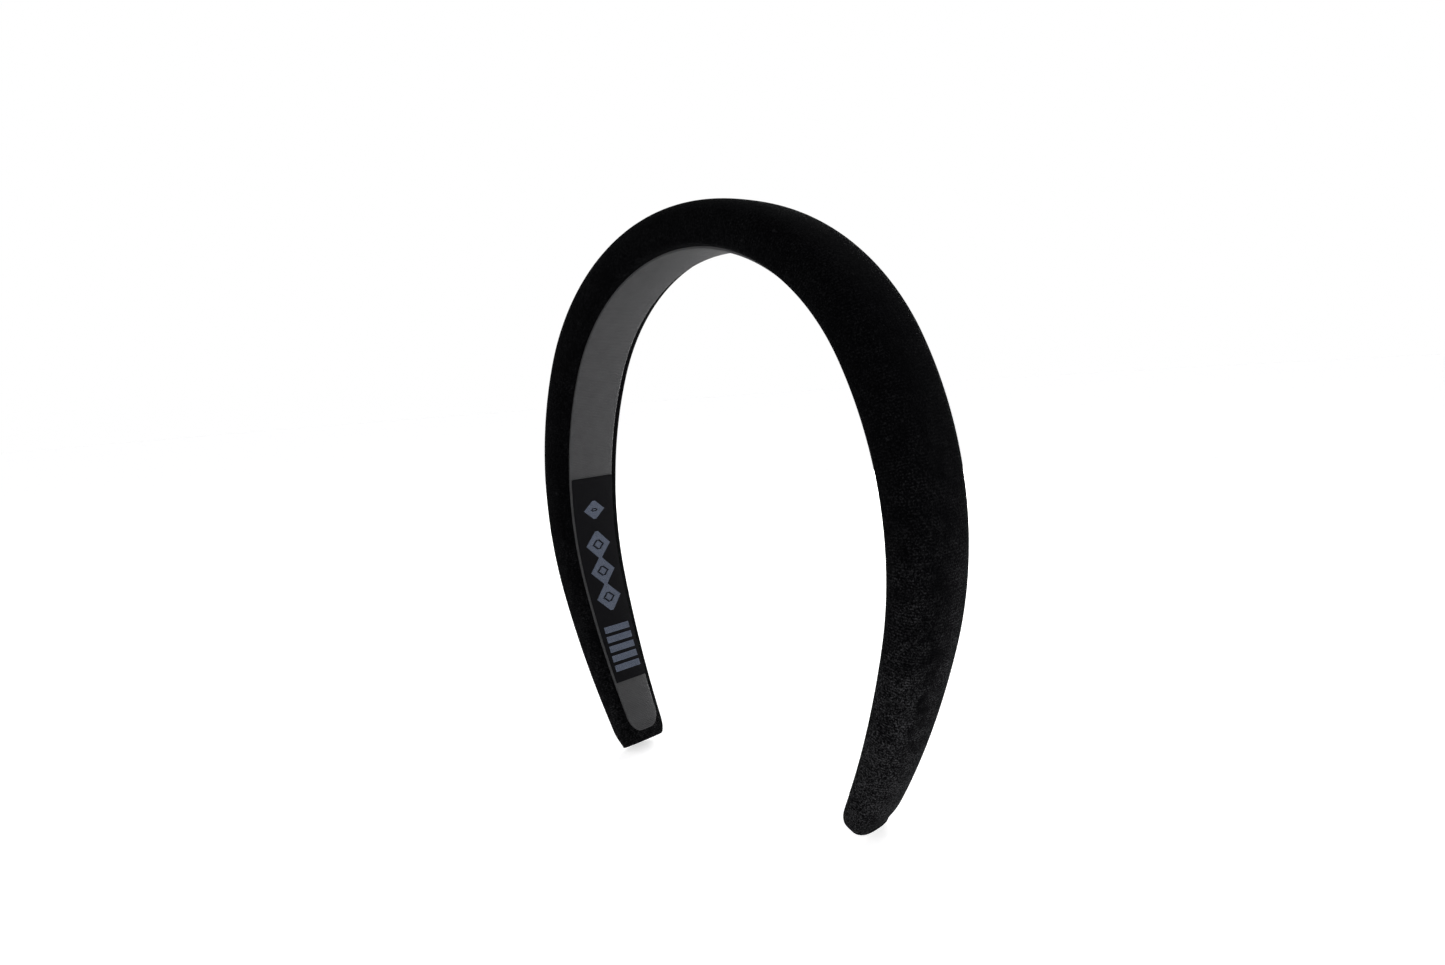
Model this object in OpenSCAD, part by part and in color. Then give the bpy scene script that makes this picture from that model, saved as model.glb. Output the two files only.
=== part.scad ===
// Padded velvet headband: a springy arch with a foam pad, a wrapped velvet cover and a ribbon lining.
// The origin is the centre of the crown's round inner face. +Z is up, +X is the wearer's left side
// seen from the front, and -Y is the front. Places along the arch are lengths from the crown,
// measured on the lining's inner face. Heights above that face are called rise.
// The arch bends open as one spring, so each long piece is drawn as a left and a right half
// that meet at the crown and turn about the crown's outermost line.

/* [Arch, on the lining's inner face] */
// Radius of the round crown
crown_r = 58; // [48:0.5:70]
// Angle that the crown covers on each side of the top
crown_angle = 64; // [56:1:70]
// Radius of the flatter sides
side_r = 101; // [80:1:130]
// Angle that each side covers
side_angle = 39.5; // [30:0.5:44]
// Radius of the nearly straight leg ends
leg_r = 250; // [150:5:400]
// Angle that each leg end covers
leg_angle = 12.5; // [8:0.5:16]

/* [Padded outside] */
// Width of the velvet at the crown
crown_w = 26.4; // [24:0.2:34]
// Width of the velvet at the tips, before they round off
tip_w = 16.2; // [15:0.2:20]
// How far below the crown the width starts to taper
taper_from = 20; // [0:1:40]
// Thickness from the lining's face to the top of the pad at the crown
crown_t = 13.6; // [11:0.2:18]
// Thickness at the tips
tip_t = 9.1; // [8.6:0.1:12]
// How late the pad thins towards the tips (higher is later)
thin_power = 4; // [2:0.5:6]
// Share of the thickness at which the pad is widest
belly_share = 0.5; // [0.48:0.01:0.6]
// Squareness of the dome (2 is an ellipse)
dome_power = 2.7; // [2:0.1:3.4]
// Share of the width that lies flat on the band's inside
flat_share = 0.67; // [0.6:0.01:0.72]
// Length over which the tips round off
tip_round = 7; // [4:0.5:10]
// Share of the tip's width and height that is left at its very end
tip_blunt = 0.6; // [0.5:0.05:0.8]

/* [Band core] */
// Thickness of the moulded band
core_t = 1.8; // [1.2:0.1:2]
// Width of the moulded band at the crown
core_w = 17.6; // [12:0.2:19]
// Width of the moulded band at the tips
core_tip_w = 10.6; // [8:0.2:11]
// Distance from the end of the moulded band to the tip
core_end = 3.4; // [3:0.1:6]

/* [Cover, tapes and lining] */
// Thickness of the velvet
cover_t = 0.7; // [0.5:0.05:0.9]
// Thickness of the velvet folded over at each tip
tip_fold_t = 1.6; // [1.2:0.1:2.2]
// Gap between the velvet's two raw edges on the inside
raw_gap = 3; // [1:0.5:6]
// Thickness of each double-sided tape
tape_t = 0.2; // [0.1:0.05:0.25]
// How much narrower each tape is than the band it lies on, on each side
tape_inset = 0.8; // [0.4:0.1:2]
// Thickness of the ribbed ribbon lining
lining_t = 0.6; // [0.4:0.05:0.8]
// Width of the lining at the crown
lining_w = 18; // [14:0.2:19]
// Width of the lining at the tips
lining_tip_w = 10.8; // [8:0.2:11]
// Distance from the end of the lining to the tip
lining_end = 4; // [3.5:0.5:8]

/* [Woven label] */
// Thickness of the label
label_t = 0.5; // [0.3:0.05:0.7]
// Place of the label's upper edge, from the crown
label_from = 99; // [80:1:110]
// Length of the label
label_len = 69; // [30:1:72]
// How much narrower the label is than the lining, on each side
label_inset = 0.3; // [0:0.1:2]

/* [Hidden] */
// The gap between the two halves at the crown, on the inner face
split_gap = 0.3;
// The air left between a layer and its neighbour, which is more than facet_sag
skin_gap = 0.05;
// The furthest that a flat facet may lie from its true curve on the inner face
facet_sag = 0.04;
dome_steps = 12;
corner_steps = 4;
tip_steps = 4;
$fn = 180;

// The arch as three tangent arcs a side: the place, angle and centre at which each one starts.
rad = PI / 180;
split_angle = asin(split_gap / 2 / crown_r);
side_start = crown_r * crown_angle * rad;
leg_start = side_start + side_r * side_angle * rad;
arch_len = leg_start + leg_r * leg_angle * rad;
side_turn = crown_angle + side_angle;
tip_turn = side_turn + leg_angle;
function outward(turn) = [sin(turn), cos(turn)];
crown_c = [0, 0];
side_c = crown_c + (crown_r - side_r) * outward(crown_angle);
leg_c = side_c + (side_r - leg_r) * outward(side_turn);

function turn_at(s) =
    s <= side_start ? s / crown_r / rad :
    s <= leg_start ? crown_angle + (s - side_start) / side_r / rad :
    side_turn + (s - leg_start) / leg_r / rad;
function radius_at(s) = s <= side_start ? crown_r : s <= leg_start ? side_r : leg_r;
function centre_at(s) = s <= side_start ? crown_c : s <= leg_start ? side_c : leg_c;
// The point in the X-Z plane at a place along the arch and a rise above the inner face
function arch_point(s, rise) = centre_at(s) + (radius_at(s) + rise) * outward(turn_at(s));

tip_z = arch_point(arch_len, 0)[1];
taper_z = crown_r - taper_from;
half_start = crown_r * split_angle * rad;

// Rises of the layers, from the lining outwards
lining_tape_rise = lining_t + skin_gap;
turn_in_rise = lining_tape_rise + tape_t + skin_gap;
edge_tape_rise = turn_in_rise + cover_t + skin_gap;
core_rise = edge_tape_rise + tape_t + skin_gap;
foam_tape_rise = core_rise + core_t + skin_gap;
foam_rise = foam_tape_rise + tape_t + skin_gap;

// The width narrows below taper_z along a circle that ends at the tip.
function taper_radius(wide, narrow) =
    let (drop = taper_z - tip_z, loss = (wide - narrow) / 2)
    (drop * drop + loss * loss) / (2 * loss);
function half_width(z, wide, narrow) =
    let (r = taper_radius(wide, narrow), drop = max(0, taper_z - z))
    wide / 2 - r + sqrt(r * r - drop * drop);

// What is left of a width where an end rounds off along an ellipse: blunt is its share at the very end.
function end_share(s, end, length, blunt) =
    let (part = max(0, (length - end + s) / length))
    blunt + (1 - blunt) * sqrt(max(0, 1 - part * part));
function tip_share(s) = end_share(s, arch_len, tip_round, tip_blunt);
function pad_half_w(s) = half_width(arch_point(s, 0)[1], crown_w, tip_w) * tip_share(s);
function pad_t(s) =
    let (full = tip_t + (crown_t - tip_t) * (1 - pow(s / arch_len, thin_power)))
    turn_in_rise + (full - turn_in_rise) * tip_share(s);

// Rings stand closer together where the arch is tighter, so that no facet sags too far, and
// closest together over the length that rounds off at the end.
function ring_step(r) = 2 * r * acos(1 - facet_sag / r) * rad;
function stretch(from, to, step) =
    let (count = ceil((to - from) / step))
    to > from ? [for (i = [0 : count - 1]) from + (to - from) * i / count] : [];
function ring_places(start, end, round_from) = concat(
    stretch(start, min(side_start, round_from), ring_step(crown_r)),
    stretch(max(start, side_start), min(leg_start, round_from), ring_step(side_r)),
    stretch(max(start, leg_start), round_from, ring_step(leg_r)),
    stretch(round_from, end, (end - round_from) / tip_steps),
    [end]);

// One side of the pad's cross-section, from the flat inside up round the belly to the dome's top,
// as [across, rise]. inset draws it inside the velvet, and low is the rise that it starts from.
function corner_angle(low, bottom, belly) = acos(min(1, (belly - low) / (belly - bottom)));
function half_section(s, inset, low) =
    let (
        w = pad_half_w(s) - inset,
        top = pad_t(s) - inset,
        belly = pad_t(s) * belly_share,
        flat = pad_half_w(s) * flat_share,
        bottom = turn_in_rise + inset,
        first = corner_angle(low, bottom, belly))
    concat(
        [for (i = [0 : corner_steps - 1])
            let (a = first + (90 - first) * i / corner_steps)
            [flat + (w - flat) * sin(a), belly - (belly - bottom) * cos(a)]],
        [for (i = [0 : dome_steps / 2])
            let (a = 180 * i / dome_steps)
            [w * pow(max(0, cos(a)), 2 / dome_power),
             belly + (top - belly) * pow(sin(a), 2 / dome_power)]]);
// The whole section: the half, then its mirror without the point at the top
function section(s, inset, low) =
    let (half = half_section(s, inset, low), last = len(half) - 1)
    concat(half, [for (i = [last - 1 : -1 : 0]) [-half[i][0], half[i][1]]]);

// The rectangle of a flat layer's cross-section, between two widths on one side of the middle
function flat_section(from, to, rise, thick) =
    [[from, rise], [to, rise], [to, rise + thick], [from, rise + thick]];
function flat_ring(s, rise, thick, wide, narrow, end) =
    let (half = half_width(arch_point(s, 0)[1], wide, narrow) * end_share(s, end, narrow / 2, 0.3))
    flat_section(-half, half, rise, thick);

// The velvet's cross-section, from raw edge to raw edge: its outside, and its inside
function cover_ring(s, inset) =
    let (raw = raw_gap / 2, rise = turn_in_rise + inset)
    concat([[raw, rise]], section(s, inset, rise), [[-raw, rise]]);

// A ring's points set on the arch; side is 1 on the right half and -1 on the left half
function on_arch(side, s, ring) = [
    for (p = ring)
        let (q = arch_point(s, p[1]))
        [side * q[0], p[0], q[1]]];

// The wall of quads between two rings of count points that start at a and b
function wall(a, b, count, closed) = [
    for (i = [0 : count - (closed ? 1 : 2)])
        let (j = (i + 1) % count)
        [a + i, b + i, b + j, a + j]];
function turned(faces) = [for (f = faces) [for (i = [len(f) - 1 : -1 : 0]) f[i]]];
// The faces that close a ring of count points that starts at a and whose first and last two points
// lie along its flat bottom, in strips from side to side
function dome_cap(a, count) =
    let (last = count - 1, top = last / 2)
    concat(
        [[a, a + 1, a + 2], [a, a + 2, a + last - 2],
         [a, a + last - 2, a + last], [a + last, a + last - 2, a + last - 1]],
        [for (i = [2 : top - 2]) [a + i, a + i + 1, a + last - 1 - i, a + last - i]],
        [[a + top - 1, a + top, a + top + 1]]);

// ---- shapes ----

// A solid swept along one half of the arch, with one ring of points at each place
module sweep(side, places, rings) {
    count = len(rings[0]);
    last = len(places) - 1;
    points = [for (k = [0 : last]) each on_arch(side, places[k], rings[k])];
    start_cap = [[for (i = [0 : count - 1]) i]];
    walls = [for (k = [0 : last - 1]) each wall(k * count, (k + 1) * count, count, true)];
    end_cap = [[for (i = [count - 1 : -1 : 0]) last * count + i]];
    faces = concat(start_cap, walls, end_cap);
    polyhedron(points, side > 0 ? faces : turned(faces));
}

// A flat layer on one half of the arch, with a rounded end
module flat_layer(side, rise, thick, wide, narrow, start, end) {
    places = ring_places(start, end, end - narrow / 2);
    sweep(side, places, [for (s = places) flat_ring(s, rise, thick, wide, narrow, end)]);
}

// A true arc over one half of the crown, in the X-Z plane
module crown_strip(side, thick) {
    far = 2 * (crown_r + thick);
    middle = (split_angle + crown_angle) / 2;
    intersection() {
        difference() {
            circle(crown_r + thick);
            circle(crown_r);
        }
        polygon([[0, 0], for (turn = [split_angle, middle, crown_angle])
            [side * far * sin(turn), far * cos(turn)]]);
    }
}

// ---- pieces, one half each ----

// The moulded plastic band that gives the arch its spring
module core(side) {
    color([0.13, 0.13, 0.14])
        flat_layer(side, core_rise, core_t, core_w, core_tip_w, half_start, arch_len - core_end);
}

// Double-sided tape under the foam
module foam_tape(side) {
    color([0.85, 0.82, 0.7])
        flat_layer(side, foam_tape_rise, tape_t, core_w - 2 * tape_inset,
            core_tip_w - 2 * tape_inset, half_start, arch_len - core_end - tape_inset);
}

// The domed foam pad
module foam_pad(side) {
    color([0.8, 0.8, 0.78]) {
        places = ring_places(half_start, arch_len - tip_fold_t - skin_gap, arch_len - tip_round);
        sweep(side, places, [for (s = places) section(s, cover_t + skin_gap, foam_rise)]);
    }
}

// The velvet, wrapped round the foam, turned in over the core's inside and folded over the tip.
// Rings up to the fold are open at the bottom, between the raw edges; those beyond it are solid.
module velvet_cover(side) {
    color([0.045, 0.045, 0.055]) {
        fold = arch_len - tip_fold_t;
        open_places = ring_places(half_start, fold, arch_len - tip_round);
        shut_places = [for (i = [1 : tip_steps]) fold + tip_fold_t * i / tip_steps];
        n = len(cover_ring(0, 0));
        open_last = len(open_places) - 1;
        shut_last = len(shut_places) - 1;
        open_points = [for (s = open_places) each concat(
            on_arch(side, s, cover_ring(s, 0)),
            on_arch(side, s, cover_ring(s, cover_t)))];
        shut_points = [for (s = shut_places) each on_arch(side, s, cover_ring(s, 0))];
        fold_at = open_last * 2 * n;
        shut_at = len(open_points);
        tip_at = shut_at + shut_last * n;

        start_cap = turned(wall(0, n, n, false));
        outer_walls = [for (k = [0 : open_last - 1]) each wall(k * 2 * n, (k + 1) * 2 * n, n, false)];
        inner_walls = [for (k = [0 : open_last - 1])
            each wall(k * 2 * n + n, (k + 1) * 2 * n + n, n, false)];
        raw_edges = [for (k = [0 : open_last - 1])
            let (a = k * 2 * n, b = a + 2 * n)
            each [[a, a + n, b + n, b], [a + n - 1, b + n - 1, b + 2 * n - 1, a + 2 * n - 1]]];
        fold_wall = concat(dome_cap(fold_at + n, n),
            [[fold_at + 2 * n - 1, fold_at + n - 1, fold_at, fold_at + n]]);
        first_shut = wall(fold_at, shut_at, n, true);
        shut_walls = [for (k = [0 : shut_last - 1])
            each wall(shut_at + k * n, shut_at + (k + 1) * n, n, true)];
        end_cap = turned(dome_cap(tip_at, n));
        faces = concat(start_cap, outer_walls, turned(inner_walls), raw_edges,
            fold_wall, first_shut, shut_walls, end_cap);
        polyhedron(concat(open_points, shut_points), side > 0 ? faces : turned(faces));
    }
}

// Two strips of double-sided tape that hold the velvet's turned-in edges on the core
module edge_tape(side) {
    color([0.85, 0.82, 0.7]) {
        end = arch_len - core_end - core_tip_w / 2;
        places = ring_places(half_start, end, end - tip_steps);
        for (edge = [-1, 1])
            sweep(side, places, [for (s = places)
                let (outer = half_width(arch_point(s, 0)[1], core_w, core_tip_w) - tape_inset)
                edge > 0
                    ? flat_section(raw_gap / 2, outer, edge_tape_rise, tape_t)
                    : flat_section(-outer, -raw_gap / 2, edge_tape_rise, tape_t)]);
    }
}

// Double-sided tape under the lining
module lining_tape(side) {
    color([0.85, 0.82, 0.7])
        flat_layer(side, lining_tape_rise, tape_t, lining_w - 2 * tape_inset,
            lining_tip_w - 2 * tape_inset, half_start, arch_len - lining_end - tape_inset);
}

// The ribbed ribbon that lines the inside: a true round band over the crown, swept below it
module lining(side) {
    color([0.2, 0.2, 0.21]) {
        crown_half = half_width(arch_point(side_start, 0)[1], lining_w, lining_tip_w);
        rotate([90, 0, 0])
            linear_extrude(2 * crown_half, center = true)
                crown_strip(side, lining_t);
        flat_layer(side, 0, lining_t, lining_w, lining_tip_w, side_start, arch_len - lining_end);
    }
}

// The woven label on the inside of the left leg, square at both ends
module woven_label() {
    color([0.06, 0.06, 0.07]) {
        end = label_from + label_len;
        places = ring_places(label_from, end, end - tip_steps);
        sweep(-1, places, [for (s = places)
            let (half = half_width(arch_point(s, 0)[1], lining_w, lining_tip_w) - label_inset)
            flat_section(-half, half, -label_t - skin_gap, label_t)]);
    }
}

core(-1);  // core_left
core(1);  // core_right
foam_tape(-1);  // foam_tape_left
foam_tape(1);  // foam_tape_right
foam_pad(-1);  // foam_pad_left
foam_pad(1);  // foam_pad_right
velvet_cover(-1);  // velvet_cover_left
velvet_cover(1);  // velvet_cover_right
edge_tape(-1);  // edge_tape_left
edge_tape(1);  // edge_tape_right
lining_tape(-1);  // lining_tape_left
lining_tape(1);  // lining_tape_right
lining(-1);  // lining_left
lining(1);  // lining_right
woven_label();
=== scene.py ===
# %% [markdown]
# # A padded velvet headband
#
# This lesson dresses a padded headband that already exists as a CAD model. The model is loaded as a fixed
# frame, and each of its pieces is drawn again with the detail that cloth, ribbon and foam have.
#
# Everything is in metres. Seen from the front, +X is to the right, +Z is up and -Y comes towards us. The
# origin is the centre of the round inside of the crown.

# %% Start
import bmesh
import bpy
import math
from mathutils import Matrix, Vector


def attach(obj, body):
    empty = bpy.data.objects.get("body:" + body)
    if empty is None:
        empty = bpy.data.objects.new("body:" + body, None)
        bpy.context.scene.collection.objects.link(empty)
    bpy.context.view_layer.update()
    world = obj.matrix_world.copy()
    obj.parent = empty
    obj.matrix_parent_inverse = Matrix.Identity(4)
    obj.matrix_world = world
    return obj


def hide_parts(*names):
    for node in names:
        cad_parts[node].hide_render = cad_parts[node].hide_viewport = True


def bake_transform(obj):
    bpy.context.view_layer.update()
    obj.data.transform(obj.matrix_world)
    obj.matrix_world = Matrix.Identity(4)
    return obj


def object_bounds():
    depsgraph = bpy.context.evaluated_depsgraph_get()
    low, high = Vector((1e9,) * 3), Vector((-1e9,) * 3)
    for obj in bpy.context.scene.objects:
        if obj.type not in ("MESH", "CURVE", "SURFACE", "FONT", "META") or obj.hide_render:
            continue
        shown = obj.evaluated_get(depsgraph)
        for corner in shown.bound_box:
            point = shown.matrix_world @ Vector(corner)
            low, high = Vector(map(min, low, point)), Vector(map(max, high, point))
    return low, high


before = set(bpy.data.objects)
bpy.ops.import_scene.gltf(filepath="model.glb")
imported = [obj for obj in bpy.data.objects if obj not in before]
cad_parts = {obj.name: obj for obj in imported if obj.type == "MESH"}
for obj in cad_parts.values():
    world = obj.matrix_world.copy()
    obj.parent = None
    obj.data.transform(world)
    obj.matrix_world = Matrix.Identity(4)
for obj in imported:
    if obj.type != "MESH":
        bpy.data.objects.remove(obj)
cad_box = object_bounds()
print("CAD box in mm:", [[round(x * 1000, 1) for x in corner] for corner in cad_box])

# %% [markdown]
# ## Sizes
#
# The frame gives where the pieces are, but not how they were drawn, so the sizes of the drawing are
# repeated here. A rise is a height above the inside of the band, measured outwards. The layers lie on each
# other a hair apart.

# %% Sizes of the drawing
MM = 0.001
NEAR = 1e-5  # places closer than this count as one

# The three arcs of each side, from the crown down
CROWN_R, SIDE_R, LEG_R = 58 * MM, 101 * MM, 250 * MM
CROWN_ANGLE, SIDE_ANGLE, LEG_ANGLE = (math.radians(angle) for angle in (64, 39.5, 12.5))

# The velvet's width and height over the crown and at the tips, and how it narrows, thins and ends
CROWN_W, TIP_W = 26.4 * MM, 16.2 * MM
CROWN_T, TIP_T = 13.6 * MM, 9.1 * MM
TAPER_FROM = 20 * MM
THIN_POWER = 4
TIP_ROUND, TIP_BLUNT, TIP_THIN = 7 * MM, 0.78, 0.62

# The pieces under it: widths at the crown and at the tips, thicknesses, and how far from the tips they end
CORE_W, CORE_TIP_W, CORE_T, CORE_END = 17.6 * MM, 10.6 * MM, 1.8 * MM, 3.4 * MM
LINING_W, LINING_TIP_W, LINING_T, LINING_END = 18 * MM, 10.8 * MM, 0.6 * MM, 4 * MM
LABEL_FROM, LABEL_LENGTH, LABEL_INSET = 99 * MM, 69 * MM, 0.3 * MM
COVER_T, TAPE_T, TAPE_INSET, GAP = 0.7 * MM, 0.2 * MM, 0.8 * MM, 0.05 * MM

# Rises of the layers, one on the other
LINING_TAPE_RISE = LINING_T + GAP
TURN_IN_RISE = LINING_TAPE_RISE + TAPE_T + GAP
EDGE_TAPE_RISE = TURN_IN_RISE + COVER_T + GAP
CORE_RISE = EDGE_TAPE_RISE + TAPE_T + GAP
FOAM_TAPE_RISE = CORE_RISE + CORE_T + GAP
FOAM_RISE = FOAM_TAPE_RISE + TAPE_T + GAP
rises = (TURN_IN_RISE, EDGE_TAPE_RISE, CORE_RISE, FOAM_RISE)
print("rises in mm:", [round(rise / MM, 2) for rise in rises])

# %% [markdown]
# ## The arch in numbers
#
# Seen from the front, each side of the band is three arcs that run smoothly into each other: a tight one
# over the crown, a wider one down the side and a nearly straight one down the leg. A place on the band is a
# distance along its inside from the middle of the crown, positive to the right.

# %% The arch in numbers
def outward(turn):
    return Vector((math.sin(turn), 0, math.cos(turn)))


crown_centre = Vector((0, 0, 0))
side_centre = crown_centre + (CROWN_R - SIDE_R) * outward(CROWN_ANGLE)
leg_centre = side_centre + (SIDE_R - LEG_R) * outward(CROWN_ANGLE + SIDE_ANGLE)
side_start = CROWN_R * CROWN_ANGLE
leg_start = side_start + SIDE_R * SIDE_ANGLE
arch_length = leg_start + LEG_R * LEG_ANGLE


def inner_height(place):
    """How high the inside of the band is at a place."""
    along = abs(place)
    if along < side_start:
        return (crown_centre + CROWN_R * outward(along / CROWN_R)).z
    if along < leg_start:
        return (side_centre + SIDE_R * outward(CROWN_ANGLE + (along - side_start) / SIDE_R)).z
    return (leg_centre + LEG_R * outward(CROWN_ANGLE + SIDE_ANGLE + (along - leg_start) / LEG_R)).z


def half_width(place, wide, narrow):
    """Half the width of a layer at a place: wide over the crown, and narrowing along a curve to the tip."""
    taper_top = CROWN_R - TAPER_FROM
    full_drop = taper_top - inner_height(arch_length)
    drop = max(0, taper_top - inner_height(place))
    loss = (wide - narrow) / 2
    radius = (full_drop ** 2 + loss ** 2) / (2 * loss)
    return wide / 2 - radius + math.sqrt(radius ** 2 - drop ** 2)


def end_share(place, end, length, blunt):
    """What is left of a width where an end rounds off; blunt is its share at the very end."""
    part = min(1, max(0, (length - end + abs(place)) / length))
    return blunt + (1 - blunt) * math.sqrt(1 - part ** 2)


def pad_half_width(place):
    return half_width(place, CROWN_W, TIP_W) * end_share(place, arch_length, TIP_ROUND, TIP_BLUNT)


def pad_height(place):
    """How high the pad stands above the turned-in velvet."""
    full = TIP_T + (CROWN_T - TIP_T) * (1 - (abs(place) / arch_length) ** THIN_POWER)
    return (full - TURN_IN_RISE) * end_share(place, arch_length, TIP_ROUND, TIP_THIN)


print(f"the inside is {2 * arch_length / MM:.1f} mm long")
print(f"the tips are at a height of {inner_height(arch_length) / MM:.1f} mm")

# %% [markdown]
# ## Camera
#
# The camera looks from the front right, a little from above and slightly tilted, so that one leg comes
# forward and the inside of the other leg shows. It stands close, which makes the near leg look longer than
# the far one.

# %% Camera
AIM = Vector((0.27, 0, -6.8)) * MM
DISTANCE = 272.8 * MM
AROUND, ABOVE, TILT = 0.7949, 0.1189, -0.0691

back = Vector((math.sin(AROUND) * math.cos(ABOVE), -math.cos(AROUND) * math.cos(ABOVE), math.sin(ABOVE)))
level = (-back).cross(Vector((0, 0, 1))).normalized()
upright = level.cross(-back)
right = level * math.cos(TILT) + upright * math.sin(TILT)
up = upright * math.cos(TILT) - level * math.sin(TILT)

bpy.ops.object.select_all(action="DESELECT")
bpy.ops.object.camera_add(location=AIM + back * DISTANCE)
camera = bpy.context.object
camera.rotation_euler = Matrix((right, up, back)).transposed().to_euler()
camera.data.lens = 23.65
camera.data.clip_start, camera.data.clip_end = 0.01, 20
bpy.context.scene.camera = camera
print("camera at", [round(x / MM) for x in camera.location], "mm")

# %% [markdown]
# ## Floor, surroundings and lights
#
# A plain pale floor lies just under the tips. The surroundings are a pale room with a darker ceiling,
# because black velvet shows its shape through what its edges catch from the sides and from below. Large
# soft lamps add a gentle direction: one low on the right, a weaker one at the front left, and one behind
# that draws the band's back.

# %% Floor and surroundings
floor_height = cad_box[0].z - 0.6 * MM
bpy.ops.object.select_all(action="DESELECT")
bpy.ops.mesh.primitive_circle_add(vertices=96, radius=4, fill_type="NGON", location=(0, 0, floor_height))
floor = bpy.context.object
floor.name = "floor"

world = bpy.data.worlds.new("pale_room")
bpy.context.scene.world = world
world.use_nodes = True
room = world.node_tree
sky = room.nodes["Background"]
direction = room.nodes.new("ShaderNodeTexCoord")
height = room.nodes.new("ShaderNodeSeparateXYZ")
shade = room.nodes.new("ShaderNodeValToRGB")
shade.color_ramp.elements[0].position = 0.45
shade.color_ramp.elements[0].color = (1, 1, 1, 1)
shade.color_ramp.elements[1].position = 0.85
shade.color_ramp.elements[1].color = (0.12, 0.12, 0.13, 1)
room.links.new(direction.outputs["Generated"], height.inputs[0])
room.links.new(height.outputs["Z"], shade.inputs[0])
room.links.new(shade.outputs[0], sky.inputs["Color"])
sky.inputs["Strength"].default_value = 1.0
bpy.context.scene.view_settings.view_transform = "Standard"
print("floor at", round(floor_height / MM, 1), "mm")


# %% Lamps
def soft_lamp(name, place, aim, size, power):
    bpy.ops.object.select_all(action="DESELECT")
    bpy.ops.object.light_add(type="AREA", location=place)
    lamp = bpy.context.object
    lamp.name = name
    lamp.rotation_euler = (Vector(aim) - Vector(place)).to_track_quat("-Z", "Y").to_euler()
    lamp.data.shape = "SQUARE"
    lamp.data.size = size
    lamp.data.energy = power


soft_lamp("lamp_right", (0.8, 0.05, 0.02), (0.05, 0, -0.05), 0.6, 4.5)
soft_lamp("lamp_left", (-0.5, -0.6, 0.3), (0, 0, 0), 0.7, 0.8)
soft_lamp("lamp_back", (-0.35, 0.7, 0.05), (0, 0, 0), 0.5, 9)
print("three soft lamps")

# %% [markdown]
# ## The line that the band is bent along
#
# A maker cuts and layers a band flat, and then bends it. The pieces here are drawn flat too: along X, with
# their width along Y and their rise along Z. This line bends them. It starts as one point at the crown,
# which is spun round the three centres in turn and then mirrored, and it becomes a curve for the Curve
# modifier to follow.

# %% Helpers for selecting
def only(piece):
    """Deselects everything else, and makes this piece the active one."""
    bpy.ops.object.select_all(action="DESELECT")
    piece.select_set(True)
    bpy.context.view_layer.objects.active = piece


def edit(piece):
    only(piece)
    bpy.ops.object.mode_set(mode="EDIT")
    bpy.ops.mesh.select_all(action="SELECT")


def leave():
    bpy.ops.object.mode_set(mode="OBJECT")


def pick(piece, test, kind="VERT"):
    """Selects the vertices, edges or faces whose middle passes a test. It is used in edit mode."""
    bpy.ops.mesh.select_mode(type=kind)
    bpy.ops.mesh.select_all(action="DESELECT")
    mesh = bmesh.from_edit_mesh(piece.data)
    for part in {"VERT": mesh.verts, "EDGE": mesh.edges, "FACE": mesh.faces}[kind]:
        corners = [part] if kind == "VERT" else part.verts
        if test(sum((corner.co for corner in corners), Vector()) / len(corners)):
            part.select_set(True)
    mesh.select_flush_mode()
    bmesh.update_edit_mesh(piece.data)


def finish_with(piece, kind, **settings):
    """Adds a modifier with these settings and applies it."""
    only(piece)
    modifier = piece.modifiers.new(kind.lower(), kind)
    for name, value in settings.items():
        setattr(modifier, name, value)
    bpy.ops.object.modifier_apply(modifier=modifier.name)


print("helpers for selecting and for modifiers")

# %% The bending line
LINE_SPARE = 20 * MM

bpy.ops.object.select_all(action="DESELECT")
bpy.ops.mesh.primitive_plane_add(size=MM)
arch_line = bpy.context.object
arch_line.name = "arch_line"
edit(arch_line)
bpy.ops.mesh.merge(type="CENTER")
bpy.ops.transform.translate(value=(0, 0, CROWN_R))
arcs = ((128, CROWN_ANGLE, crown_centre), (80, SIDE_ANGLE, side_centre), (40, LEG_ANGLE, leg_centre))
for steps, angle, centre in arcs:
    bpy.ops.mesh.spin(steps=steps, angle=-angle, center=centre, axis=(0, 1, 0))
tip_turn = CROWN_ANGLE + SIDE_ANGLE + LEG_ANGLE
straight_on = Vector((math.cos(tip_turn), 0, -math.sin(tip_turn))) * LINE_SPARE
bpy.ops.mesh.extrude_region_move(TRANSFORM_OT_translate={"value": straight_on})
leave()
finish_with(arch_line, "MIRROR", merge_threshold=NEAR)
bpy.ops.object.convert(target="CURVE")
bpy.ops.object.mode_set(mode="EDIT")
bpy.ops.curve.select_all(action="SELECT")
bpy.ops.curve.switch_direction()
leave()
for point in arch_line.data.splines[0].points:
    point.tilt = math.pi
print("bending line of", len(arch_line.data.splines[0].points), "points")


# %% Bending a flat piece
def bend(piece):
    """Keeps each point's place along and across as a UV map, and bends the flat piece along the line."""
    flat_map = piece.data.uv_layers.new(name="flat")
    for loop in piece.data.loops:
        flat_map.data[loop.index].uv = piece.data.vertices[loop.vertex_index].co.xy
    only(piece)
    piece.location.x = arch_length + LINE_SPARE
    bpy.ops.object.transform_apply(location=True)
    finish_with(piece, "CURVE", object=arch_line, deform_axis="POS_X")
    bpy.ops.object.shade_smooth_by_angle(angle=math.radians(50))


print("flat pieces are bent along", arch_line.name)

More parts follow.
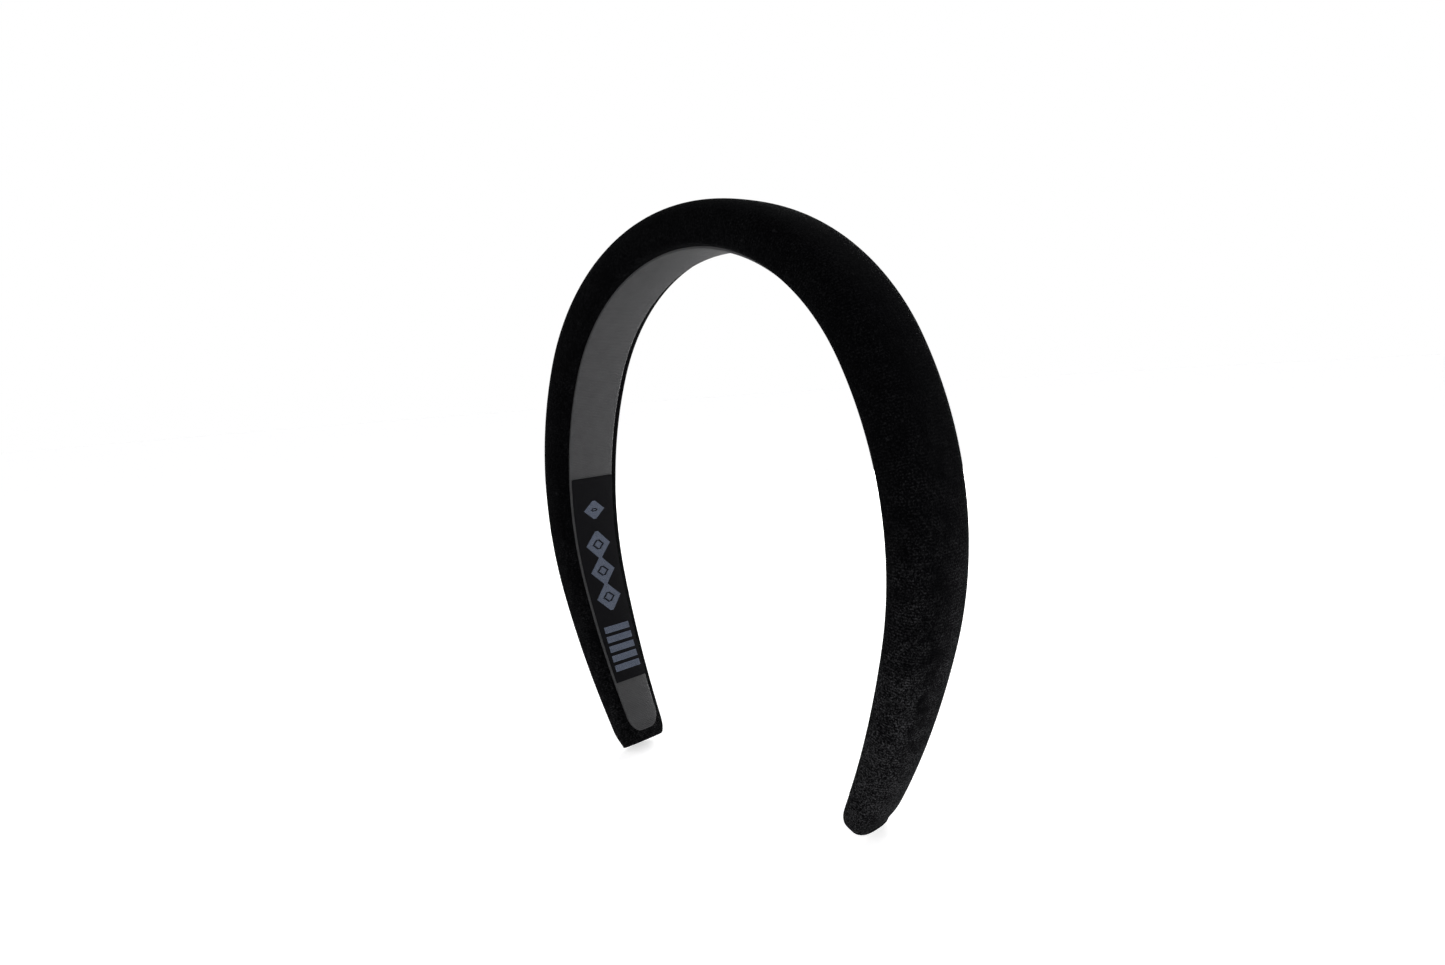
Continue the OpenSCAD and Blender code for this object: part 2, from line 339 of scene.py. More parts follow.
# %% [markdown]
# ## The pad's form
#
# The foam and the velvet over it share one form: flat inside, rounded at its lower edges and domed outside,
# widest and thickest over the crown. Its outline is a rectangle whose corners are rounded halfway along
# each side. It is drawn out ring by ring along one side of the band, resized at each ring, closed at the
# tip and mirrored. The last few millimetres are lifted off the head point by point, because the folded
# velvet draws the tip outwards there. One form for both pieces keeps the velvet evenly on the foam.

# %% Drawing a half out from its outline
def outline(name, half, low, high):
    """A rectangle across the band at the crown, from -half to half and from one rise to another."""
    bpy.ops.object.select_all(action="DESELECT")
    bpy.ops.mesh.primitive_plane_add(size=1, rotation=(0, math.pi / 2, 0))
    piece = bpy.context.object
    piece.name = piece.data.name = name
    bpy.ops.object.transform_apply(rotation=True)
    edit(piece)
    bpy.ops.transform.resize(value=(1, 2 * half, high - low))
    bpy.ops.transform.translate(value=(0, 0, (low + high) / 2))
    return piece


def ring_places(end, round_length, step):
    """Places for rings, evenly to where the end rounds off and closer together beyond."""
    count = math.ceil((end - round_length) / step)
    even = [(end - round_length) * i / count for i in range(count)]
    return even + [end - round_length * (1 - math.sin(math.radians(15 * i))) for i in range(7)]


def draw_out(places, width, height, low):
    """Extrudes the selected outline from place to place, and resizes it at each one, from its lower side."""
    for here, there in zip(places, places[1:]):
        bpy.ops.mesh.extrude_region_move(TRANSFORM_OT_translate={"value": (there - here, 0, 0)})
        size = (1, width(there) / width(here), height(there) / height(here))
        bpy.ops.transform.resize(value=size, center_override=(there, 0, low))


def mirror_half(piece, across=False):
    leave()
    finish_with(piece, "MIRROR", use_axis=(True, across, False), merge_threshold=1e-6)
    edit(piece)
    bpy.ops.mesh.normals_make_consistent(inside=False)
    leave()


print("helpers for drawing a half out from its outline")

# %% The pad's outline
SWELL, DRAW_IN = 0.15 * MM, 0.1 * MM
RING_STEP = 1.5 * MM
TIP_FOLD = 1.5 * MM
TIP_LIFT, TIP_LIFT_LENGTH = 1.3 * MM, 4 * MM
# Steps onwards in mm past the last ring, and the share of the outline before it that each step keeps
CLOSING = ((0.5, 0.985), (0.3, 0.955), (0.15, 0.88), (0.05, 0.6))


def at_bottom(point):
    return point.z < TURN_IN_RISE + NEAR


def at_top(point):
    return point.z > CROWN_T - SWELL - NEAR


pad_form = outline("pad_form", CROWN_W / 2 + DRAW_IN, TURN_IN_RISE, CROWN_T - SWELL)
pick(pad_form, at_bottom, "EDGE")
bpy.ops.mesh.subdivide(number_cuts=2)
pick(pad_form, at_top, "EDGE")
bpy.ops.mesh.subdivide(number_cuts=1)
pick(pad_form, lambda point: at_bottom(point) and abs(point.y) > CROWN_W / 3)
bpy.ops.mesh.bevel(offset_type="PERCENT", offset_pct=50, segments=7, profile=0.66, affect="VERTICES")
pick(pad_form, lambda point: at_top(point) and abs(point.y) > CROWN_W / 3)
bpy.ops.mesh.bevel(offset_type="PERCENT", offset_pct=100, segments=11, profile=0.6, affect="VERTICES")
pick(pad_form, at_bottom, "EDGE")
bpy.ops.mesh.subdivide(number_cuts=2)
bpy.ops.mesh.select_all(action="SELECT")
bpy.ops.mesh.remove_doubles(threshold=0.02 * MM)
bpy.ops.mesh.delete(type="ONLY_FACE")
print("outline of", len(bmesh.from_edit_mesh(pad_form.data).verts), "points")

# %% The pad's form
form_places = ring_places(arch_length - TIP_FOLD, TIP_ROUND - TIP_FOLD, RING_STEP)
bpy.ops.mesh.select_all(action="SELECT")
draw_out(form_places, pad_half_width, pad_height, TURN_IN_RISE)
place = form_places[-1]
for onwards, share in CLOSING:
    place += onwards * MM
    bpy.ops.mesh.extrude_region_move(TRANSFORM_OT_translate={"value": (onwards * MM, 0, 0)})
    centre = (place, 0, TURN_IN_RISE + pad_height(form_places[-1]) / 2)
    bpy.ops.transform.resize(value=(1, share, share), center_override=centre)
bpy.ops.mesh.merge(type="CENTER")
mirror_half(pad_form)
for vertex in pad_form.data.vertices:
    lifted = max(0, abs(vertex.co.x) - arch_length + TIP_LIFT_LENGTH) / TIP_LIFT_LENGTH
    vertex.co.z += TIP_LIFT * lifted ** 2
print("pad form of", len(pad_form.data.vertices), "points")

# %% [markdown]
# ## Foam pad
#
# Under the velvet is a moulded or skived strip of sponge with a flat underside. It is a copy of the form,
# drawn in by the velvet's thickness and pressed flat where the tape on the core lies.

# %% Foam pad
def copy_of(piece, name):
    only(piece)
    bpy.ops.object.duplicate()
    bpy.context.object.name = bpy.context.object.data.name = name
    return bpy.context.object


foam_pad = copy_of(pad_form, "foam_pad")
edit(foam_pad)
bpy.ops.transform.shrink_fatten(value=-(COVER_T + 2 * GAP))
pick(foam_pad, lambda point: point.z < FOAM_RISE)
bpy.ops.transform.resize(value=(1, 1, 0), center_override=(0, 0, FOAM_RISE))
leave()
bend(foam_pad)
print("foam pad of", len(foam_pad.data.polygons), "faces")

# %% [markdown]
# ## Core and tapes
#
# The core is a moulded plastic strip with eased edges, which springs the band onto the head. Thin
# double-sided tape holds the foam on it, the velvet's turned-in edges against it and the lining over those.
# They are hidden, but the band would not hold together without them. Each is an outline drawn out like the
# form, and closed with a face.

# %% Flat layers
def flat_layer(name, rise, thick, wide, narrow, end, ease, inner=0):
    """A strip from tip to tip with rounded ends, or two strips with a gap of twice inner between them."""
    piece = outline(name, (wide / 2 - inner) / (2 if inner else 1), rise, rise + thick)
    if inner:
        bpy.ops.transform.translate(value=(0, (wide / 2 + inner) / 2, 0))
    bpy.ops.mesh.bevel(offset=ease, segments=2, affect="VERTICES")
    bpy.ops.mesh.delete(type="ONLY_FACE")
    bpy.ops.mesh.select_all(action="SELECT")

    def width(place):
        return half_width(place, wide, narrow) * end_share(place, end, narrow / 2, 0.3)

    draw_out(ring_places(end, narrow / 2, 3 * MM), width, lambda place: 1, rise)
    bpy.ops.mesh.edge_face_add()
    mirror_half(piece, across=inner > 0)
    bend(piece)
    return piece


print("flat layers are drawn like the form")

# %% Core and tapes
CORE_EASE, TAPE_EASE = 0.5 * MM, 0.03 * MM
EDGE_TAPE_FROM = 1.5 * MM
TAPE_W, TAPE_TIP_W = CORE_W - 2 * TAPE_INSET, CORE_TIP_W - 2 * TAPE_INSET
INNER_TAPE_W, INNER_TAPE_TIP_W = LINING_W - 2 * TAPE_INSET, LINING_TIP_W - 2 * TAPE_INSET
core_half, tape_half = arch_length - CORE_END, arch_length - CORE_END - TAPE_INSET
edge_tape_half = arch_length - CORE_END - CORE_TIP_W / 2
inner_tape_half = arch_length - LINING_END - TAPE_INSET

core = flat_layer("core", CORE_RISE, CORE_T, CORE_W, CORE_TIP_W, core_half, CORE_EASE)
foam_tape = flat_layer("foam_tape", FOAM_TAPE_RISE, TAPE_T, TAPE_W, TAPE_TIP_W, tape_half, TAPE_EASE)
edge_tape = flat_layer("edge_tape", EDGE_TAPE_RISE, TAPE_T, TAPE_W, TAPE_TIP_W, edge_tape_half, TAPE_EASE,
                       inner=EDGE_TAPE_FROM)
lining_tape = flat_layer("lining_tape", LINING_TAPE_RISE, TAPE_T, INNER_TAPE_W, INNER_TAPE_TIP_W,
                         inner_tape_half, TAPE_EASE)
print("core and three tapes")

# %% [markdown]
# ## Velvet cover
#
# The velvet is one sheet, wrapped over the foam, turned in over the inside of the core and drawn together
# at the tips. It is a second copy of the form, opened along the middle of its underside, where its raw
# edges stop short of each other. A cloth simulation then lets it settle: a little pressure from the foam
# crowns it, while its lower half and its tips are held. It runs at a larger scale, because cloth settings
# are meant for clothes and cushions, and its movement is capped. Solidify gives the sheet its thickness
# inwards.

# %% Velvet sheet
SEAM = 0.2 * MM

velvet_cover = copy_of(pad_form, "velvet_cover")
edit(velvet_cover)
pick(velvet_cover, lambda middle: at_bottom(middle) and abs(middle.y) < SEAM
     and abs(middle.x) < arch_length - TIP_ROUND, "FACE")
bpy.ops.mesh.delete(type="FACE")
leave()


def stays(point):
    """Whether the velvet is held at a point: on its lower half and round the tips."""
    return point.z < TURN_IN_RISE + pad_height(point.x) / 2 or abs(point.x) > arch_length - TIP_ROUND


held = velvet_cover.vertex_groups.new(name="held")
held.add([vertex.index for vertex in velvet_cover.data.vertices if stays(vertex.co)], 1, "REPLACE")
bend(velvet_cover)
print("velvet sheet of", len(velvet_cover.data.polygons), "faces")

# %% Settling the velvet
CLOTH_SCALE, PRESSURE, MOMENTS = 20, 4, 20
MOST_MOVE = 0.35 * MM

settling = copy_of(velvet_cover, "settling")
bpy.ops.transform.resize(value=(CLOTH_SCALE,) * 3, center_override=(0, 0, 0))
bpy.ops.object.transform_apply(location=True, scale=True)
cloth = settling.modifiers.new("cloth", "CLOTH")
cloth.settings.quality = 6
cloth.settings.use_pressure = True
cloth.settings.uniform_pressure_force = PRESSURE
cloth.settings.effector_weights.gravity = 0
cloth.settings.vertex_group_mass = "held"
cloth.collision_settings.use_collision = False
cloth.point_cache.frame_start, cloth.point_cache.frame_end = 1, MOMENTS
for moment in range(1, MOMENTS + 1):
    bpy.context.scene.frame_set(moment)
bpy.ops.object.modifier_apply(modifier="cloth")
bpy.context.scene.frame_set(1)
moves = []
for here, there in zip(velvet_cover.data.vertices, settling.data.vertices):
    move = there.co / CLOTH_SCALE - here.co
    here.co += move * MOST_MOVE / (MOST_MOVE + move.length)
    moves.append(move.length)
bpy.data.objects.remove(settling)
print("velvet wanted to move by up to", round(max(moves) / MM, 2), "mm")

# %% Velvet thickness
finish_with(velvet_cover, "SUBSURF", levels=1, render_levels=1)
finish_with(velvet_cover, "SOLIDIFY", thickness=COVER_T, offset=-1)
bpy.ops.object.shade_smooth()
print("velvet cover of", len(velvet_cover.data.polygons), "faces")

# %% [markdown]
# ## Lining
#
# The inside is lined with a ribbed ribbon, woven with a thick thread across it and fine threads along it.
# Each rib is real here, because the light rakes along them. One rib is modelled, with a selvedge at both
# ends that hugs the velvet, and an Array repeats it along the band. The strip is then narrowed towards its
# ends and rounded off there, point by point, because hundreds of ribs are too many to scale one at a time.

# %% One rib of the lining
RIB_PITCH, RIB_DEPTH, SELVEDGE = 0.55 * MM, 0.16 * MM, 0.5 * MM
lining_half = arch_length - LINING_END
rib_count = 2 * round(lining_half / RIB_PITCH)
pitch = 2 * lining_half / rib_count

bpy.ops.object.select_all(action="DESELECT")
bpy.ops.mesh.primitive_cube_add(size=1)
lining = bpy.context.object
lining.name = lining.data.name = "lining"
edit(lining)
bpy.ops.transform.resize(value=(pitch, LINING_W, LINING_T))
bpy.ops.transform.translate(value=(0, 0, LINING_T / 2))
pick(lining, lambda middle: abs(middle.x) > 0.4 * pitch, "FACE")
bpy.ops.mesh.delete(type="ONLY_FACE")
for along in (-pitch / 4, 0, pitch / 4):
    bpy.ops.mesh.select_all(action="SELECT")
    bpy.ops.mesh.bisect(plane_co=(along, 0, 0), plane_no=(1, 0, 0))
for across in (SELVEDGE - LINING_W / 2, LINING_W / 2 - SELVEDGE):
    bpy.ops.mesh.select_all(action="SELECT")
    bpy.ops.mesh.bisect(plane_co=(0, across, 0), plane_no=(0, 1, 0))
for nearest, furthest, depth in ((0.2, 0.3, RIB_DEPTH / 2), (0.4, 0.6, RIB_DEPTH)):
    pick(lining, lambda point: point.z < NEAR and nearest * pitch < abs(point.x) < furthest * pitch)
    bpy.ops.transform.translate(value=(0, 0, depth))
for lowest, highest, rise in ((0.5, 1, TURN_IN_RISE - 0.02 * MM), (0, 0.5, 2 * RIB_DEPTH)):
    pick(lining, lambda point: lowest * LINING_T <= point.z + 1e-6 <= highest * LINING_T + 2e-6
         and abs(point.y) > LINING_W / 2 - NEAR)
    bpy.ops.transform.resize(value=(1, 1, 0), center_override=(0, 0, rise))
leave()
print(rib_count, "ribs of", round(pitch / MM, 3), "mm")

# %% The whole lining
lining.location.x = pitch / 2 - lining_half
only(lining)
bpy.ops.object.transform_apply(location=True)
finish_with(lining, "ARRAY", count=rib_count, use_relative_offset=False, use_constant_offset=True,
            constant_offset_displace=(pitch, 0, 0), use_merge_vertices=True, merge_threshold=NEAR)
edit(lining)
bpy.ops.mesh.fill_holes(sides=0)
bpy.ops.mesh.select_all(action="SELECT")
bpy.ops.mesh.normals_make_consistent(inside=False)
leave()
for vertex in lining.data.vertices:
    place = vertex.co.x
    full = half_width(place, LINING_W, LINING_TIP_W)
    vertex.co.y *= full * end_share(place, lining_half, LINING_TIP_W / 2, 0.3) / (LINING_W / 2)
bend(lining)
print("lining of", len(lining.data.polygons), "faces")

# %% [markdown]
# ## Woven label
#
# A long woven label lies on the lining of the left leg. Its ground is a smooth black satin with its ends
# turned under, and its pattern is brocaded: thick blue-grey threads that float across it, row by row. The
# pattern here is a plain one of lozenges and stripes. Each float is a short round thread; one is modelled,
# and the rows are copies of it, stretched to the pattern's width.

# %% The label's ground
LABEL_RISE = -GAP
LABEL_T = 0.36 * MM
label_middle = -(LABEL_FROM + LABEL_LENGTH / 2)
label_wide = half_width(LABEL_FROM, LINING_W, LINING_TIP_W) - LABEL_INSET


def on_rim(middle):
    """Whether an edge runs round the label's upper or lower face."""
    above_or_below = abs(middle.z - LABEL_RISE + LABEL_T / 2) > 0.1 * MM
    at_end = abs(middle.x - label_middle) > 0.4 * LABEL_LENGTH
    return above_or_below and (at_end or abs(middle.y) > 0.9 * label_wide)


bpy.ops.object.select_all(action="DESELECT")
bpy.ops.mesh.primitive_cube_add(size=1)
label_ground = bpy.context.object
label_ground.name = label_ground.data.name = "label_ground"
edit(label_ground)
bpy.ops.transform.resize(value=(LABEL_LENGTH, 2 * label_wide, LABEL_T))
bpy.ops.transform.translate(value=(label_middle, 0, LABEL_RISE - LABEL_T / 2))
pick(label_ground, on_rim, "EDGE")
bpy.ops.mesh.bevel(offset=0.12 * MM, segments=2)
pick(label_ground, lambda middle: abs(middle.x - label_middle) < 0.1 * LABEL_LENGTH, "EDGE")
bpy.ops.mesh.subdivide(number_cuts=60)
leave()
for vertex in label_ground.data.vertices:
    vertex.co.y *= (half_width(vertex.co.x, LINING_W, LINING_TIP_W) - LABEL_INSET) / label_wide
bend(label_ground)
print("label's ground of", len(label_ground.data.polygons), "faces")

# %% The label's pattern
FLOAT_PITCH, FLOAT_R = 0.36 * MM, 0.15 * MM


def lozenges(part, count, widest, hollow):
    """The ends, across the label, of the floats of one row through a chain of hollow lozenges."""
    nearness = 1 - abs(2 * (part * count % 1) - 1)
    outer, inner = widest * (0.12 + 0.88 * nearness), widest * (nearness - 1 + hollow)
    if inner < 0.5 * MM:
        return [(-outer, outer)]
    heart = inner - 0.9 * MM
    return [(-outer, -inner), (inner, outer)] + ([(-heart, heart)] if heart > 0.15 * MM else [])


def stripes(part, count, widest):
    return [(-widest, widest)] if part * count % 1 < 0.7 else []


def float_rows():
    """The place and the two ends of each float, from the label's top to its bottom."""
    marks = ((107.0, 113.0, lambda part: lozenges(part, 1, 4.2 * MM, 0.35)),
             (117.4, 144.4, lambda part: lozenges(part, 3, 4.9 * MM, 0.5)),
             (149.4, 165.6, lambda part: stripes(part, 5, 5.1 * MM)))
    for start, end, floats in marks:
        rows = round((end - start) * MM / FLOAT_PITCH)
        for row in range(rows):
            for left, right in floats((row + 0.5) / rows):
                yield -(start * MM + (row + 0.5) * FLOAT_PITCH), left, right


floats = list(float_rows())
print("pattern of", len(floats), "floats")

# %% The label's floats
first_place, first_left, first_right = floats[0]
bpy.ops.object.select_all(action="DESELECT")
bpy.ops.mesh.primitive_cylinder_add(vertices=8, radius=FLOAT_R, depth=first_right - first_left,
                                    rotation=(math.pi / 2, 0, 0),
                                    location=(first_place, 0, LABEL_RISE - LABEL_T + 0.03 * MM))
label_pattern = bpy.context.object
label_pattern.name = label_pattern.data.name = "label_pattern"
bpy.ops.object.transform_apply(location=True, rotation=True)
edit(label_pattern)
for (place, left, right), (next_place, next_left, next_right) in zip(floats, floats[1:]):
    middle = (next_left + next_right) / 2
    step = (next_place - place, middle - (left + right) / 2, 0)
    bpy.ops.mesh.duplicate_move(TRANSFORM_OT_translate={"value": step})
    size = (1, (next_right - next_left) / (right - left), 1)
    bpy.ops.transform.resize(value=size, center_override=(next_place, middle, 0))
leave()
bend(label_pattern)
print("label's pattern of", len(label_pattern.data.polygons), "faces")

# %% [markdown]
# ## Finishes
#
# Every finish starts from the same shader, with its one-value settings on the shader itself. Two kinds of
# place are used for patterns: the flat map, in metres along and across the band, for what was woven or
# knitted in, and the piece's own coordinates for what has no direction. Small helpers keep the recipes
# readable.

# %% Helpers for nodes
def finish(name, colour, roughness, specular=0.5):
    """A material, and its shader with one-value settings."""
    material = bpy.data.materials.new(name)
    material.use_nodes = True
    shader = material.node_tree.nodes["Principled BSDF"]
    shader.inputs["Base Color"].default_value = (*colour, 1)
    shader.inputs["Roughness"].default_value = roughness
    shader.inputs["Specular IOR Level"].default_value = specular
    return material, shader


def add(material, kind, inputs=None, **settings):
    """A node with its settings, whose inputs are numbers or the outputs of other nodes."""
    made = material.node_tree.nodes.new("ShaderNode" + kind)
    for name, value in settings.items():
        setattr(made, name, value)
    for name, value in (inputs or {}).items():
        if isinstance(value, bpy.types.NodeSocket):
            material.node_tree.links.new(value, made.inputs[name])
        else:
            made.inputs[name].default_value = value
    return made


def connect(material, output, shader, name):
    material.node_tree.links.new(output, shader.inputs[name])


print("helpers for nodes")

# %% Helpers for places and numbers
def own_place(material):
    return add(material, "TexCoord").outputs["Object"]


def flat_place(material):
    """Places in the flat map, along and across."""
    place = add(material, "UVMap", uv_map="flat")
    parts = add(material, "SeparateXYZ", {0: place.outputs["UV"]})
    return parts.outputs["X"], parts.outputs["Y"]


def math_node(material, operation, first, second=0.0, third=0.0):
    return add(material, "Math", {0: first, 1: second, 2: third}, operation=operation).outputs[0]


def scaled(material, value, gain, more):
    return math_node(material, "MULTIPLY_ADD", value, gain, more)


print("helpers for places and numbers")

# %% Helpers for patterns
def grains(material, place, scale, detail=2.0, rough=0.5):
    """Soft noise whose grains are about 1/scale metres across."""
    settings = {"Vector": place, "Scale": scale, "Detail": detail, "Roughness": rough}
    return add(material, "TexNoise", settings).outputs["Fac"]


def between(material, value, low, high):
    """A value stretched so that low becomes 0 and high becomes 1, with smooth ends."""
    return add(material, "MapRange", {"Value": value, "From Min": low, "From Max": high},
               interpolation_type="SMOOTHSTEP").outputs[0]


def threads(material, along, pitch, sharpness=1.0):
    """Rounded ridges across a direction, one for each pitch: 0 between them and 1 on top."""
    turns = math_node(material, "MULTIPLY", along, math.pi / pitch)
    ridge = math_node(material, "ABSOLUTE", math_node(material, "SINE", turns))
    return math_node(material, "POWER", ridge, sharpness)


print("grains, steps and threads")

# %% Helpers for colour and relief
def blend_colours(material, share, first, second):
    made = add(material, "Mix", data_type="RGBA")
    for name, value in (("A", first), ("B", second)):
        socket = next(s for s in made.inputs if s.name == name and s.type == "RGBA")
        if isinstance(value, bpy.types.NodeSocket):
            material.node_tree.links.new(value, socket)
        else:
            socket.default_value = (*value, 1)
    factor = next(s for s in made.inputs if s.name == "Factor" and s.type == "VALUE")
    material.node_tree.links.new(share, factor)
    return next(s for s in made.outputs if s.type == "RGBA")


def paint(material, shader, share, first, second):
    """Colours the surface from a first colour, where a share is 0, to a second one, where it is 1."""
    connect(material, blend_colours(material, share, first, second), shader, "Base Color")


def relief(material, shader, height, depth, strength=1.0):
    bump = add(material, "Bump", {"Height": height, "Distance": depth, "Strength": strength})
    connect(material, bump.outputs["Normal"], shader, "Normal")


print("helpers for colour and relief")

# %% [markdown]
# ## Velvet
#
# The pile is short and black, and swallows nearly all light. It shows grey in three ways: where it turns
# away from us, which the shader's sheen gives, together with a painted sheen that lightens the colour away
# from a line 4 mm off the middle of the band; as soft blotches with a speckle of single tufts, where it was
# brushed or crushed in handling, more and more towards the tips and more strongly on the right leg, a rise
# that is partly handling and partly painted light for the light that leg catches; and as faint courses
# across the band where the knitted back shows through the pile.

# %% Velvet's shader and marks
COURSE = 0.7 * MM

velvet_pile, shader = finish("velvet_pile", (0.004, 0.004, 0.005), 0.95, specular=0.01)
shader.inputs["Sheen Weight"].default_value = 0.009
shader.inputs["Sheen Roughness"].default_value = 0.35
shader.inputs["Sheen Tint"].default_value = (0.9, 0.94, 1.0, 1)

own = own_place(velvet_pile)
along, across = flat_place(velvet_pile)
# Partly handling wear and partly painted light: the pile is painted lighter towards the tips, more strongly
# on the right leg, for the light that leg catches.
right_leg = between(velvet_pile, along, 85 * MM, 185 * MM)
left_leg = between(velvet_pile, math_node(velvet_pile, "MULTIPLY", along, -1), 100 * MM, 190 * MM)
painted_light_and_handling = scaled(velvet_pile, left_leg, 0.3, right_leg)
blotches = between(velvet_pile, grains(velvet_pile, own, 230, 5, 0.65), 0.38, 0.64)
streaks = between(velvet_pile, grains(velvet_pile, own, 40, 3, 0.55), 0.36, 0.66)
tufts = between(velvet_pile, grains(velvet_pile, own, 2100, 3, 0.9), 0.47, 0.62)
lint = between(velvet_pile, grains(velvet_pile, own, 620, 1, 0.3), 0.74, 0.8)
courses = threads(velvet_pile, along, COURSE, 2)
print("velvet's marks")

# %% Velvet finish
# The second colour is reached where wear, painted light and painted sheen are all strongest.
DEEP_PILE, BRUSHED_AND_PAINTED_LIGHT_PILE = (0.0004, 0.0004, 0.0006), (0.034, 0.034, 0.036)

# Painted sheen: the colour lightens away from a line 4 mm off the middle of the band, for the sheen that the
# pile's turning sides catch.
off_middle = math_node(velvet_pile, "ABSOLUTE", math_node(velvet_pile, "ADD", across, 4 * MM))
edges = between(velvet_pile, off_middle, 1 * MM, 7 * MM)
crushed_and_painted_light = scaled(velvet_pile, blotches, 0.42, 0.02)
crushed_and_painted_light = scaled(velvet_pile, streaks, 0.3, crushed_and_painted_light)
crushed_and_painted_light = scaled(velvet_pile, edges, 0.26, crushed_and_painted_light)
crushed_and_painted_light = math_node(velvet_pile, "MULTIPLY", crushed_and_painted_light, scaled(velvet_pile, painted_light_and_handling, 0.92, 0.08))
speckle = scaled(velvet_pile, tufts, 2.3, 0.05)
speckle = math_node(velvet_pile, "MULTIPLY", speckle, scaled(velvet_pile, courses, 0.7, 0.5))
grey = math_node(velvet_pile, "MULTIPLY", crushed_and_painted_light, speckle)
grey = scaled(velvet_pile, lint, 0.12, grey)
paint(velvet_pile, shader, grey, DEEP_PILE, BRUSHED_AND_PAINTED_LIGHT_PILE)
pile = scaled(velvet_pile, courses, 0.4, math_node(velvet_pile, "ADD", tufts, blotches))
relief(velvet_pile, shader, pile, 0.12 * MM, 0.7)
print("velvet finish")

# %% [markdown]
# ## Lining and label
#
# The lining's ribs are modelled, so its finish adds the fine threads that run along the band over each rib,
# a slightly uneven dye, and a painted shade that darkens the colour in the grooves between the ribs. The
# label's satin shows even finer threads both ways, with a soft gloss, and the floats of its pattern are a
# twisted blue-grey yarn.

# %% Lining finish
LINING_WARP = 0.16 * MM

lining_ribbon, shader = finish("lining_ribbon", (0.042, 0.042, 0.044), 0.72, specular=0.3)
shader.inputs["Sheen Weight"].default_value = 0.05
own = own_place(lining_ribbon)
along, across = flat_place(lining_ribbon)
warp = threads(lining_ribbon, across, LINING_WARP, 0.7)
# Painted shade: the colour is darkened by three tenths in the grooves between the modelled ribs.
ribs = threads(lining_ribbon, along, pitch, 1)
dye = grains(lining_ribbon, own, 260, 4, 0.6)
fuzz = grains(lining_ribbon, own, 3000, 2, 0.6)
light = scaled(lining_ribbon, warp, 0.35, math_node(lining_ribbon, "MULTIPLY", dye, 0.5))
light = scaled(lining_ribbon, fuzz, 0.3, light)
light = math_node(lining_ribbon, "MULTIPLY", light, scaled(lining_ribbon, ribs, 0.3, 0.7))
paint(lining_ribbon, shader, light, (0.011, 0.011, 0.012), (0.052, 0.052, 0.054))
relief(lining_ribbon, shader, scaled(lining_ribbon, fuzz, 0.5, warp), 0.04 * MM, 0.8)
print("lining finish")

# %% Label's satin finish
SATIN_WEFT, SATIN_WARP = 0.14 * MM, 0.2 * MM

label_satin, shader = finish("label_satin", (0.006, 0.006, 0.007), 0.7, specular=0.04)
along, across = flat_place(label_satin)
weft = threads(label_satin, along, SATIN_WEFT, 0.8)
slanting = math_node(label_satin, "ADD", across, math_node(label_satin, "MULTIPLY", along, 0.5))
warp = threads(label_satin, slanting, SATIN_WARP, 0.8)
uneven = grains(label_satin, own_place(label_satin), 900, 3, 0.6)
warp_light = math_node(label_satin, "ADD", warp, uneven)
light = math_node(label_satin, "MULTIPLY", scaled(label_satin, weft, 0.5, 0.25), warp_light)
paint(label_satin, shader, light, (0.001, 0.001, 0.0013), (0.0045, 0.0045, 0.0055))
relief(label_satin, shader, scaled(label_satin, warp, 0.6, weft), 0.03 * MM, 0.8)
print("label's satin finish")

# %% Label's thread finish
YARN_TWIST = 0.22 * MM

label_thread, shader = finish("label_thread", (0.08, 0.098, 0.141), 0.55, specular=0.4)
along, across = flat_place(label_thread)
slanting = math_node(label_thread, "ADD", across, math_node(label_thread, "MULTIPLY", along, 1.5))
twist = threads(label_thread, slanting, YARN_TWIST, 0.8)
uneven = grains(label_thread, own_place(label_thread), 1200, 3, 0.6)
light = math_node(label_thread, "MULTIPLY", twist, scaled(label_thread, uneven, 1.0, 0.5))
paint(label_thread, shader, light, (0.03, 0.038, 0.058), (0.11, 0.132, 0.185))
relief(label_thread, shader, twist, 0.03 * MM, 0.8)
print("label's thread finish")

# %% [markdown]
# ## Hidden pieces
#
# The core is moulded plastic with a satin skin and faint flow marks, the pad is open-celled sponge, and the
# tape is a cream film with paper fibres in it. They only show when the band is taken apart, but each is
# finished.

# %% Core's finish
black_plastic, shader = finish("black_plastic", (0.015, 0.015, 0.017), 0.38)
own = own_place(black_plastic)
flow = grains(black_plastic, own, 120, 3, 0.5)
skin = grains(black_plastic, own, 2600, 2, 0.5)
paint(black_plastic, shader, flow, (0.010, 0.010, 0.012), (0.022, 0.022, 0.025))
connect(black_plastic, scaled(black_plastic, flow, 0.2, 0.28), shader, "Roughness")
relief(black_plastic, shader, skin, 0.02 * MM, 0.5)
print("core's finish")

